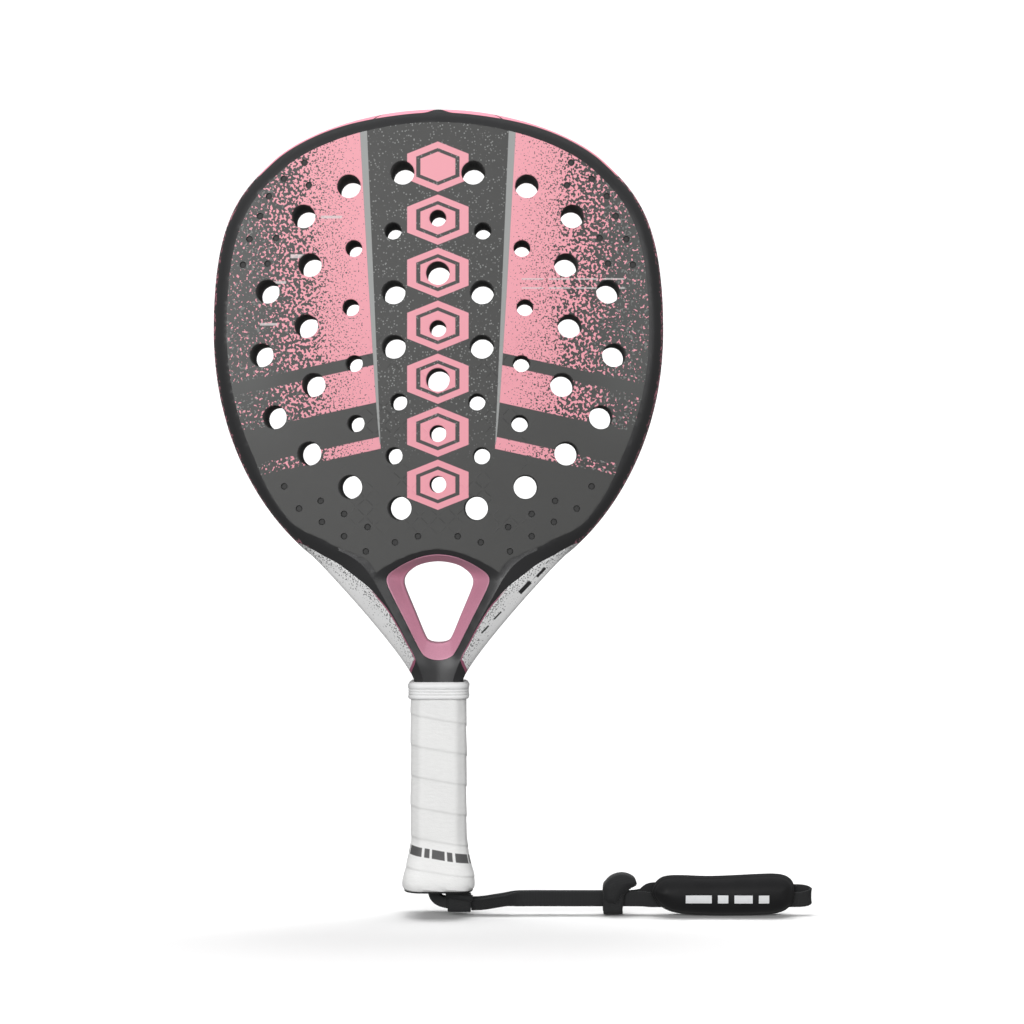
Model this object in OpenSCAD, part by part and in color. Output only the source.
// Padel racket with a wrist strap, in millimetres.
// +Z runs up the handle to the head, +X to the right, and the front face looks along -Y.
// The origin is on the handle's axis, halfway up the grip.

/* [Head] */
// Widest width of the head
head_w = 260; // [250:1:264]
// Height of the head's top above the origin
head_top = 391; // [388:0.5:394]
// Thickness of the head
head_t = 38; // [36:0.5:38]
// Width of the painted rim around the faces
rim_w = 9; // [8:0.5:10]
// Width of the frame tube under the faces
tube_w = 20; // [18:1:22]
// Wall of the frame tube
tube_wall = 1.6; // [1.2:0.2:2]
// Thickness of one face skin
skin_t = 1.2; // [1:0.1:1.6]

/* [Holes] */
// Diameter of the large air holes
big_d = 13.5; // [12:0.1:14]
// Diameter of the small air holes
small_d = 9.6; // [8:0.1:10.5]
// Diameter of the blind pits near the rim
pit_d = 3.5; // [2.5:0.1:4]

/* [Handle] */
// Width of the wrapped grip
grip_w = 31.6; // [29:0.2:33]
// Depth of the wrapped grip, front to back
grip_d = 29.4; // [27:0.2:31]
// Width of the flared butt
butt_w = 41; // [36:0.5:42]
// Depth of the flared butt, front to back
butt_d = 37; // [34:0.5:37.6]
// Thickness of the overgrip ribbon
overgrip_t = 0.8; // [0.5:0.1:1]
// Thickness of the cushion under the overgrip
cushion_t = 1; // [0.8:0.1:1.2]

/* [Strap] */
// Width of the strap's webbing
web_w = 8.5; // [8:0.5:10]
// Thickness of the strap's webbing
web_t = 1.8; // [1.4:0.1:2]
// Length of the wrist pad
pad_l = 82; // [76:1:84]
// Height of the wrist pad
pad_h = 23.5; // [20:0.5:24]

/* [Hidden] */
$fn = 48;
half_t = head_t / 2;

// Outline of the head, right half: four Bezier curves from the top, by the shoulder, the widest
// point and the flank, to the neck
side = [head_w / 2, 263];
shoulder = [95.5, 361];
shoulder_dir = [cos(43), -sin(43)];
flank = [74, 134];
flank_dir = [-cos(38), -sin(38)];
neck = [14, 60];
crown_curve = [[0, head_top], [40, head_top], shoulder - 23 * shoulder_dir, shoulder];
side_curve = [shoulder, shoulder + 26 * shoulder_dir, side + [0, 64], side];
flank_curve = [side, side - [0, 66], flank - 31 * flank_dir, flank];
throat_curve = [flank, flank + 9 * flank_dir, neck + [0, 10], neck];

// Edge of the face: its depth from the outline against height, then an arch over the throat
face_depth = [[112, 22.4], [131, 12.9], [149, 6.4], [160, 6.8], [174, 7.8], [187, rim_w], [400, rim_w]];
face_low = 114;
crotch = [36, 126];
arch_z = 137;

// Throat opening and the outer edge of the yoke around it, right halves from the top down
opening_half = [[0, 130.5], [10, 129], [17.5, 124.5], [19.6, 117.5], [17, 108], [8.2, 87.5], [5, 83.6],
                [0, 83]];
yoke_half = [[0, 134.6], [14, 132.6], [25.5, 127.5], [29.6, 120.5], [27, 112], [10.5, 80], [6, 74.4],
             [0, 73]];
// How far the yoke's outer edge lies below the arms, and half the depth of its inner lip
yoke_recess = 2.4;
opening_half_t = 7;

// Half depth, fairing depth and tube depth along the arms, against height
arm_half_t = [[60, 13.8], [75, 15], [100, 17], [130, half_t], [400, half_t]];
fairing_depth = [[62, 1.2], [70, 7], [78, 8.6], [86, 10.4], [98, 12.2], [106, 12], [115, 10], [123, 8],
                 [131, 4], [141, 0.4], [150, 0]];
tube_depth = [[50, 10.8], [58, 12.5], [66, 12], [75, 11.5], [89, 13], [106, 17], [117, 19], [130, tube_w],
              [400, tube_w]];
fairing_skin = 1.6;
fairing_span = [64, 138];
blend_span = [141, 152];

// Handle sections
grip_top = 55;
butt_z = -60;
shank_x = 11.5;
shank_w = 10.3;
shank_half_t = 9.5;
shank_end = -46;
collar_z = [50.5, 60.5];
flare = [[grip_top, 0], [-33, 0], [-38, 0.22], [-46, 0.52], [-53, 0.9], [-56.5, 1], [-58.6, 0.94]];
facet = 0.66;
wrap_t = overgrip_t + cushion_t;
pallet_top = 48;
skirt_top = -36;
overgrip_low = -58.6;
tape_t = 0.4;
collar_wall = 1.4;

// Butt cap: outside as [height, share of the flare, 1 where the overgrip covers it], and the cavity in it
cap_rows = [[butt_z, 0.97, 0], [-59.4, 1, 0], [overgrip_low, 0.98, 0], [overgrip_low, 0.94, 1], [-56.5, 1, 1],
            [-53, 0.9, 1], [-46, 0.52, 1], [-38, 0.22, 1], [skirt_top, 0.13, 1]];
cavity_z = [-57, -46];
cavity_size = [23, 21];
staple_y = 14.5;
staple_z = -41;
staple_crown = 10;
staple_leg = 4;
staple_wire = 1.2;

// Air holes: height above the origin and distance from the centre line (both sides, or 0)
big_holes = [[0, 295.4], [0, 234.2], [20.2, 352.9], [51, 345.2], [77, 327.9], [73.4, 300], [25.4, 284.3],
             [97.6, 284.7], [75.5, 265], [25.2, 253.1], [101, 248.3], [71.2, 231.2], [93.5, 212.7],
             [73.6, 191.9], [50.2, 172.7], [21.9, 160.5]];
small_holes = [[0, 326.9], [0, 263.6], [0, 203.4], [0, 174.2], [25.7, 319.5], [48.2, 309.5], [49.9, 275.6],
               [47.9, 243.5], [22.4, 221.5], [46.9, 209.1], [25.1, 190.6]];
pits = [[76.4, 358.7], [88.2, 349.4], [74, 345.7], [96.8, 339.4], [101.9, 328], [108, 314.8], [92.7, 315.4],
        [97.6, 300.8], [111.7, 300.1], [88.1, 173.1], [67.2, 164.8], [79.6, 160.4], [53.8, 157.3],
        [66.5, 152.7], [40.3, 149.8], [53.8, 144.5], [24.6, 141], [11.4, 144.5], [41.3, 135.8]];
pit_depth = 0.9;

// Strap: the hinge under the butt, and the parts along the webbing
pivot = [5, -69.5];
bar_r = 1.6;
anchor_x = -3;
anchor_w = 8;
anchor_y = 4.5;
anchor_t = 2;
pin_z = -51.5;
pin_r = 3.3;
pin_l = 25;
web_z = -66;
web_y = 2.2;
hitch_end = 18.7;
hitch_half_h = 4.8;
knot_x = 95.4;
knot_l = 11.6;
knot_y = 5.6;
knot_z = [-74.6, -58.6];
pad_x = 123.6;
pad_z = -63.2;
channel_y = 3.6;
channel_h = 5.4;
pad_n = 14;
pad_dome = 9.5;
cover_t = 1;
rear_t = 1.6;

// Route of the webbing's centre line: out along the front, round the end loop and back along the rear
web_route = [[18.7, -2.2, -69.4], [26, -2.2, -69], [35, -2.2, -67.6], [44, -2.2, -66.3], [52, -2.2, -66],
             [72, -2.2, -66], [92, -2.2, -66], [110, -2.2, -66], [118, -2.2, -66.1], [124, -2.2, -66.5],
             [142, -2.2, -66.5], [162, -2.2, -66.5], [182, -2.2, -66.5], [202, -2.2, -66.5],
             [211, -2.4, -66.3], [214.4, -1.7, -65.4], [215.6, 0, -64.5], [214.4, 1.7, -63.6],
             [211, 2.4, -62.7], [202, 2.2, -62.5], [182, 2.2, -62.5], [162, 2.2, -62.5],
             [142, 2.2, -62.5], [124, 2.2, -62.5], [118, 2.2, -65], [110, 2.2, -66], [92, 2.2, -66],
             [72, 2.2, -66], [52, 2.2, -66], [44, 2.2, -66.3], [35, 2.2, -67.6], [26, 2.2, -69],
             [18.7, 2.2, -69.4]];

// ---- curve helpers ----
function bezier(p, t) = pow(1 - t, 3) * p[0] + 3 * pow(1 - t, 2) * t * p[1]
                        + 3 * (1 - t) * t * t * p[2] + pow(t, 3) * p[3];
function catmull(a, b, c, d, t) = 0.5 * (2 * b + (c - a) * t + (2 * a - 5 * b + 4 * c - d) * t * t
                                         + (3 * b - a - 3 * c + d) * t * t * t);
function closed_curve(p, steps) = let (n = len(p))
    [for (i = [0 : n - 1], k = [0 : steps - 1])
        catmull(p[(i + n - 1) % n], p[i], p[(i + 1) % n], p[(i + 2) % n], k / steps)];
function mirrored_loop(half) = concat(half, [for (i = [len(half) - 2 : -1 : 1]) [-half[i].x, half[i].y]]);
function unit(v) = v / norm(v);
function reversed(v) = [for (i = [len(v) - 1 : -1 : 0]) v[i]];
function mix(a, b, t) = a + (b - a) * t;
function ramp(z, lo, hi) = min(1, max(0, (z - lo) / (hi - lo)));

// ---- solids from rings of points ----
// Closed skin between two triangulated bands; rings all have the same number of points
function band(first, n, m, flip) = [for (i = [0 : n - 2], j = [0 : m - 1], k = [0 : 1])
    let (a = first + i * m + j, b = first + i * m + (j + 1) % m, c = a + m, d = b + m,
         tri = k == 0 ? [a, b, d] : [a, d, c])
    flip ? [tri[2], tri[1], tri[0]] : tri];
// The rings of a shell run out along one side and back along the other, so its ends are strips.
// With flip the rings run the other way round, and the quads are split along the other diagonal.
module loft(rings, shell = false, flip = false) {
    n = len(rings);
    m = len(rings[0]);
    l = (n - 1) * m;
    points = [for (r = rings) each r];
    caps = shell
        ? [for (j = [0 : m / 2 - 2], q = [[j, m - 1 - j, m - 2 - j], [j, m - 2 - j, j + 1]]) each
            [q, [l + q[2], l + q[1], l + q[0]]]]
        : [[for (j = [m - 1 : -1 : 0]) j], [for (j = [0 : m - 1]) l + j]];
    faces = concat(band(0, n, m, false), caps);
    polyhedron(points, flip ? [for (f = faces) reversed(f)] : faces, convexity = 10);
}
module hollow_loft(outer, inner) {
    n = len(outer);
    m = len(outer[0]);
    points = concat([for (r = outer) each r], [for (r = inner) each r]);
    o = n * m;
    ends = [for (j = [0 : m - 1], k = [0 : 3])
        let (q = (j + 1) % m, l = (n - 1) * m)
        k == 0 ? [j, o + j, o + q] : k == 1 ? [j, o + q, q]
        : k == 2 ? [l + j, l + q, o + l + q] : [l + j, o + l + q, o + l + j]];
    polyhedron(points, concat(band(0, n, m, false), band(o, n, m, true), ends), convexity = 10);
}
module ring_loft(rings) {
    n = len(rings);
    m = len(rings[0]);
    wrap = [for (f = band(0, n + 1, m, false)) [for (v = f) v % (n * m)]];
    polyhedron([for (r = rings) each r], wrap, convexity = 10);
}

// ---- outline of the head ----
function steps(curve, n) = [for (i = [0 : n - 1]) bezier(curve, i / n)];
outline_half = concat(steps(crown_curve, 9), steps(side_curve, 9), steps(flank_curve, 10),
                      steps(throat_curve, 10), [neck]);
function tangent(p, i) = unit(p[min(i + 1, len(p) - 1)] - p[max(i - 1, 0)]);
function inward(p, i) = i == 0 ? [0, -1] : let (t = tangent(p, i)) [t.y, -t.x];
function both_sides(half) = concat([for (i = [len(half) - 1 : -1 : 0]) [-half[i].x, half[i].y]],
                                   [for (i = [1 : len(half) - 1]) half[i]]);
module front_plane(depth, y0) {
    translate([0, y0 + depth, 0]) rotate([90, 0, 0]) linear_extrude(depth) children();
}

// Area of one face: the outline brought in to the rim, then the arch over the throat
module face_area() {
    upper = [for (i = [0 : len(outline_half) - 1])
        let (p = outline_half[i])
        if (p.y > face_low) p + lookup(p.y, face_depth) * inward(outline_half, i)];
    arch = [for (k = [6 : -1 : 0]) let (a = k / 6) [crotch.x * a, mix(arch_z, crotch.y, pow(a, 1.8))]];
    polygon(both_sides(concat(upper, arch)));
}
// Everything inside the frame tube's inner wall
module inside_tube() {
    half = [for (i = [0 : len(outline_half) - 1])
        let (p = outline_half[i], q = p + lookup(p.y, tube_depth) * inward(outline_half, i))
        if (p.y > 62) [max(q.x, 0), q.y]];
    polygon(both_sides(concat(half, [[0.9, 60.5], [0, 60.5]])));
}

module both_x(p) {
    for (s = p[0] == 0 ? [1] : [-1, 1]) translate([s * p[0], 0, p[1]]) children();
}
module air_holes() {
    for (p = big_holes) both_x(p) rotate([90, 0, 0]) cylinder(d = big_d, h = head_t + 2, center = true);
    for (p = small_holes) both_x(p) rotate([90, 0, 0]) cylinder(d = small_d, h = head_t + 2, center = true);
}
module pit_cuts() {
    for (p = pits) both_x(p) rotate([90, 0, 0]) cylinder(d = pit_d, h = pit_depth + 1);
}

// ---- frame tube ----
// Sections are [depth from the outline, half depth in Y] pairs from the inner edge to the outer wall,
// with a step that the face skin lies in
function head_section(w, u, h) = [[w, h - skin_t], [u, h - skin_t], [u, h], [5.6, h - 0.9], [2.6, h - 3.6],
                                  [0.7, h - 7.6], [0, h - 12]];
function arm_section(w, u, h, d) = [[w, h - skin_t], [u, h - skin_t], [u, h], [d, h - 0.4],
                                    [max(d, fairing_skin), h - 1.9],
                                    [mix(fairing_skin, d, 0.4), 0.75 * h - 1.6], [fairing_skin, 0.5 * h - 1]];
function section_at(z) =
    let (d = lookup(z, fairing_depth), w = lookup(z, tube_depth), h = lookup(z, arm_half_t),
         u = min(lookup(z, face_depth), w - 0.3), k = 1 - ramp(z, blend_span[0], blend_span[1]),
         a = head_section(w, u, h), b = arm_section(w, u, h, d))
    [for (i = [0 : 6]) mix(a[i], b[i], k)];
// The cavity inside a section
function cavity(s, t) = let (roof = s[0].y - t, far = s[0].x - t, near = min(s[3].x + t, far - 1))
    [[far, roof], [mix(far, near, 1 / 3), roof], [mix(far, near, 2 / 3), roof], [near, roof],
     [min(s[4].x + t, near), min(s[4].y - t, roof - 0.5)], [s[5].x + t, s[5].y - 0.6 * t],
     [s[6].x + t, s[6].y - 0.3 * t]];
function section_ring(p, n, s, side) = [for (i = [0 : 13])
    let (q = i < 7 ? s[i] : s[13 - i], sy = i < 7 ? 1 : -1, c = p + q[0] * n)
    [side * c.x, sy * q[1], c.y]];
shank_stations = [[13.2, 55], [shank_x, 49], [shank_x, 0], [shank_x, shank_end]];
shank_section = [[shank_w, shank_half_t], [6, shank_half_t], [3, shank_half_t], [1.5, shank_half_t - 0.6],
                 [0.6, shank_half_t - 1.8], [0.2, shank_half_t - 4], [0, shank_half_t - 6]];
function tube_half() = concat(
    [for (i = [0 : len(outline_half) - 1])
        [outline_half[i], inward(outline_half, i), section_at(outline_half[i].y)]],
    [for (p = shank_stations) let (k = ramp(p.y, 49, 60), s = section_at(60))
        [p, [-1, 0], [for (i = [0 : 6]) mix(shank_section[i], s[i], k)]]]);
function tube_rings(hollow) =
    let (h = tube_half(), n = len(h), s = [for (q = h) hollow ? cavity(q[2], tube_wall) : q[2]])
    concat([for (i = [n - 1 : -1 : 0]) section_ring(h[i][0], h[i][1], s[i], -1)],
           [for (i = [1 : n - 1]) section_ring(h[i][0], h[i][1], s[i], 1)]);
module frame_tube() {
    color([0.2, 0.2, 0.2]) hollow_loft(tube_rings(false), tube_rings(true));
}

// ---- head core, skins and throat ----
module eva_core() {
    depth = head_t - 2 * skin_t;
    color([0.12, 0.12, 0.13]) difference() {
        front_plane(depth, -depth / 2) intersection() {
            inside_tube();
            face_area();
        }
        air_holes();
    }
}
module face_skin(y0, pit_y) {
    difference() {
        front_plane(skin_t, y0) face_area();
        air_holes();
        translate([0, pit_y, 0]) pit_cuts();
    }
}
module front_face() {
    color([0.93, 0.6, 0.66]) face_skin(-half_t, -half_t + pit_depth);
}
module rear_face() {
    color([0.93, 0.6, 0.66]) face_skin(half_t - skin_t, half_t + 1);
}

yoke_loop = closed_curve(mirrored_loop(yoke_half), 3);
opening_loop = closed_curve(mirrored_loop(opening_half), 3);
module arm_depth() {
    edge = [for (p = arm_half_t) [p[1], p[0]]];
    outline = concat(edge, [for (i = [len(edge) - 1 : -1 : 0]) [-edge[i].x, edge[i].y]]);
    rotate([90, 0, 90]) linear_extrude(2 * side.x, center = true) polygon(outline);
}
module throat_bridge() {
    color([0.25, 0.25, 0.25]) intersection() {
        front_plane(head_t, -half_t) difference() {
            inside_tube();
            face_area();
            polygon(yoke_loop);
        }
        arm_depth();
    }
}
module throat_yoke() {
    rings = [for (i = [0 : len(yoke_loop) - 1])
        let (o = yoke_loop[i], n = opening_loop[i], h = lookup(o.y, arm_half_t) - yoke_recess)
        [[o.x, -h, o.y], [n.x, -opening_half_t, n.y], [n.x, opening_half_t, n.y], [o.x, h, o.y]]];
    color([0.75, 0.45, 0.55]) ring_loft(rings);
}

// Moulded cover on the outside of one arm; side is 1 for the right, -1 for the left
function fairing_section(z) =
    let (d = lookup(z, fairing_depth), h = lookup(z, arm_half_t), q = arm_section(0, 0, h, d))
    [[d, h - 0.4], [0.4 * d, 0.75 * h], [0, 0.5 * h], [0, -0.5 * h], [0.4 * d, -0.75 * h], [d, 0.4 - h],
     [q[4].x, -q[4].y], [q[5].x, -q[5].y], [q[6].x, -q[6].y], q[6], q[5], q[4]];
module fairing(side) {
    rings = [for (i = [0 : len(outline_half) - 1])
        let (p = outline_half[i], n = inward(outline_half, i), s = fairing_section(p.y))
        if (p.y > fairing_span[0] && p.y < fairing_span[1])
            [for (k = [0 : 11]) let (q = s[side > 0 ? 11 - k : k], c = p + q.x * n) [side * c.x, q.y, c.y]]];
    color([0.92, 0.92, 0.92]) loft(rings, shell = true, flip = true);
}
module left_fairing() { fairing(-1); }
module right_fairing() { fairing(1); }

// ---- handle ----
function octagon(w, d, f = facet) = let (a = w / 2, b = d / 2)
    [[a, f * b], [f * a, b], [-f * a, b], [-a, f * b], [-a, -f * b], [-f * a, -b], [f * a, -b], [a, -f * b]];
function level(p, z) = [for (q = p) [q.x, q.y, z]];
function grip_ring(z, k, t) =
    level(octagon(mix(grip_w, butt_w, k) - 2 * t, mix(grip_d, butt_d, k) - 2 * t), z);
pallet = octagon(grip_w - 2 * wrap_t, grip_d - 2 * wrap_t);

module pallet_half(side) {
    color([0.75, 0.72, 0.6]) translate([0, 0, shank_end])
            linear_extrude(pallet_top - shank_end) difference() {
        intersection() {
            polygon(pallet);
            translate([0, side * grip_d]) square([2 * grip_w, 2 * grip_d], center = true);
        }
        for (s = [-1, 1]) translate([s * (shank_x - shank_w / 2), 0])
            square([shank_w, 2 * shank_half_t], center = true);
    }
}
module front_pallet() { pallet_half(-1); }
module rear_pallet() { pallet_half(1); }
module cushion_grip() {
    color([0.3, 0.3, 0.3]) translate([0, 0, skirt_top]) linear_extrude(grip_top - skirt_top) difference() {
        polygon(octagon(grip_w - 2 * overgrip_t, grip_d - 2 * overgrip_t));
        polygon(pallet);
    }
}
module overgrip() {
    color([0.95, 0.95, 0.95])
        hollow_loft([for (i = [len(flare) - 1 : -1 : 0]) grip_ring(flare[i][0], flare[i][1], 0)],
                    [for (i = [len(flare) - 1 : -1 : 0]) grip_ring(flare[i][0], flare[i][1], overgrip_t)]);
}
module finishing_tape() {
    color([0.9, 0.9, 0.9]) translate([0, 0, collar_z[0]])
            linear_extrude(grip_top - collar_z[0]) difference() {
        polygon(octagon(grip_w + 2 * tape_t, grip_d + 2 * tape_t));
        polygon(octagon(grip_w, grip_d));
    }
}
module grip_collar() {
    outer = [grip_w, grip_d] + 2 * (tape_t + collar_wall) * [1, 1];
    module slice(z0, z1, inset) {
        translate([0, 0, z0]) linear_extrude(z1 - z0) polygon(octagon(outer.x - inset, outer.y - inset, 0.8));
    }
    color([0.93, 0.93, 0.93]) difference() {
        union() {
            slice(collar_z[0], 54.5, 0.6);
            slice(54.5, 56, 1.8);
            slice(56, collar_z[1], 0);
        }
        translate([0, 0, collar_z[0] - 1]) linear_extrude(grip_top + 1 - collar_z[0] + 0.2)
            polygon(octagon(grip_w + 2 * tape_t, grip_d + 2 * tape_t));
        translate([0, 0, collar_z[1]])
            cube([2 * neck.x + 0.6, 2 * arm_half_t[0][1] + 0.4, 12], center = true);
    }
}
module anchor_pin_hole() {
    translate([0, 0, pin_z]) rotate([0, 90, 0]) cylinder(r = pin_r, h = pin_l, center = true);
}
module butt_cap() {
    slot = [anchor_w + 1, 2 * anchor_y + anchor_t + 0.8, 10];
    color([0.1, 0.1, 0.1]) difference() {
        loft([for (r = cap_rows) grip_ring(r[0], r[1], r[2] * overgrip_t)]);
        translate([0, 0, cavity_z[1]]) linear_extrude(20) polygon(pallet);
        translate([0, 0, cavity_z[0]]) linear_extrude(12) polygon(octagon(cavity_size.x, cavity_size.y, 0.8));
        translate([anchor_x, 0, cavity_z[0]]) cube(slot, center = true);
        anchor_pin_hole();
    }
}
module anchor_pin() {
    color([0.6, 0.6, 0.62]) anchor_pin_hole();
}
module cap_staples() {
    color([0.7, 0.7, 0.72]) for (s = [-1, 1]) translate([0, s * staple_y, staple_z]) {
        cube([staple_crown, 0.8, staple_wire], center = true);
        for (x = [-1, 1]) translate([x * (staple_crown - staple_wire) / 2, -s * 1.7, 0])
            cube([staple_wire, staple_leg, staple_wire], center = true);
    }
}
// Loop of webbing round the pin in the cap, down through the slot to the bar that the hitch hangs on
anchor_curve = [[anchor_x, butt_z], [anchor_x, butt_z - 6], [pivot[0] - 5, pivot[1]], pivot];
module anchor_band() {
    n = 8;
    mid = concat([[anchor_x, pin_z]], [for (i = [0 : n]) bezier(anchor_curve, i / n)]);
    edge = function(s) [for (i = [0 : len(mid) - 1])
        let (t = tangent(mid, i)) mid[i] + s * anchor_w / 2 * [-t.y, t.x]];
    right = edge(-1);
    polygon(concat(edge(1), [for (i = [len(right) - 1 : -1 : 0]) right[i]]));
    translate(pivot) circle(d = anchor_w);
}
module anchor_loop() {
    color([0.12, 0.12, 0.12]) {
        for (s = [-1, 1]) front_plane(anchor_t, s * anchor_y - anchor_t / 2) anchor_band();
        translate([anchor_x, 0, pin_z]) rotate([0, 90, 0]) rotate([0, 0, 90]) rotate_extrude(angle = 180)
            translate([anchor_y - anchor_t / 2, -anchor_w / 2]) square([anchor_t, anchor_w]);
        translate([pivot[0], 0, pivot[1]]) rotate([90, 0, 0])
            cylinder(r = bar_r, h = 2 * anchor_y, center = true);
    }
}

// ---- strap ----
module strap_hitch() {
    half_y = web_y + web_t / 2;
    color([0.12, 0.12, 0.12]) difference() {
        front_plane(2 * half_y, -half_y) union() {
            translate(pivot) circle(r = hitch_half_h);
            translate([pivot[0], pivot[1] - hitch_half_h]) square([hitch_end - pivot[0], 2 * hitch_half_h]);
        }
        translate([pivot[0], 0, pivot[1]]) rotate([90, 0, 0])
            cylinder(r = bar_r + 0.3, h = 20, center = true);
    }
}
module strap_webbing() {
    p = web_route;
    n = len(p);
    section = [[0.5, 0.3], [0.2, 0.5], [-0.2, 0.5], [-0.5, 0.3], [-0.5, -0.3], [-0.2, -0.5], [0.2, -0.5],
               [0.5, -0.3]];
    rings = [for (i = [0 : n - 1])
        let (t = i == 0 ? [1, 0, 0] : i == n - 1 ? [-1, 0, 0] : unit(p[i + 1] - p[i - 1]),
             side = unit(cross(t, [0, 0, 1])), up = cross(side, t))
        [for (q = section) p[i] + q[0] * web_t * side + q[1] * web_w * up]];
    color([0.14, 0.14, 0.14]) loft(rings);
}
module cinch_knot() {
    lobe = [[6.5, -0.5, 4.5], [16.2, 2.2, 3.7]];
    color([0.1, 0.1, 0.1]) difference() {
        union() {
            translate([knot_x, 0, (knot_z[0] + knot_z[1]) / 2]) rotate([90, 0, 90]) linear_extrude(knot_l)
                polygon(octagon(2 * knot_y, knot_z[1] - knot_z[0], 0.75));
            front_plane(2 * knot_y - 2, 1 - knot_y) hull() for (q = lobe)
                translate([knot_x + q[0], knot_z[1] + q[1]]) circle(r = q[2]);
        }
        translate([knot_x - 1, -channel_y, web_z - channel_h]) cube([pad_l, 2 * channel_y, 2 * channel_h]);
    }
}

// Wrist pad: a sleeve round the two strands, domed in front
function pad_k(s) = pow(1 - pow(abs(2 * s - 1), 5), 0.4);
function pad_s(i) = 0.02 + 0.96 * i / pad_n;
function dome(h, d) = [for (a = [0 : 22.5 : 180]) [-channel_y - d * pow(sin(a), 0.8), h * cos(a)]];
function pad_ring(s, outline) = [for (q = outline) [pad_x + pad_l * s, q.x, pad_z + q.y]];
module pad_foam() {
    color([0.25, 0.25, 0.25]) loft([for (i = [0 : pad_n]) let (s = pad_s(i), k = pad_k(s))
        pad_ring(s, dome(k * pad_h / 2 - cover_t, max(pad_dome * k - cover_t, 1)))]);
}
module pad_front_cover() {
    color([0.1, 0.1, 0.1]) loft([for (i = [0 : pad_n])
        let (s = pad_s(i), k = pad_k(s), outer = dome(k * pad_h / 2, max(pad_dome * k, 1.4)),
             inner = dome(k * pad_h / 2 - cover_t, max(pad_dome * k - cover_t, 1)))
        pad_ring(s, concat(outer, reversed(inner)))], shell = true);
}
module pad_rear_cover() {
    far = channel_y + rear_t;
    color([0.16, 0.16, 0.16]) loft([for (i = [0 : pad_n]) let (s = pad_s(i), h = pad_k(s) * pad_h / 2)
        pad_ring(s, [[channel_y, h - 0.4], [channel_y, 0.4 - h], [far, 1 - h], [far, h - 1]])]);
}
module pad_binding() {
    color([0.08, 0.08, 0.08]) for (side = [-1, 1]) loft([for (i = [2 : pad_n - 2])
        let (s = pad_s(i), h = pad_k(s) * pad_h / 2 - 0.4, z = side * h, zi = side * (h - rear_t))
        pad_ring(s, side > 0 ? [[channel_y, z], [-channel_y, z], [-channel_y, zi], [channel_y, zi]]
                             : [[channel_y, zi], [-channel_y, zi], [-channel_y, z], [channel_y, z]])]);
}

frame_tube();
eva_core();
front_face();
rear_face();
throat_bridge();
throat_yoke();
left_fairing();
right_fairing();
front_pallet();
rear_pallet();
cushion_grip();
overgrip();
finishing_tape();
grip_collar();
butt_cap();
cap_staples();
anchor_pin();
anchor_loop();
strap_hitch();
strap_webbing();
cinch_knot();
pad_front_cover();
pad_foam();
pad_rear_cover();
pad_binding();
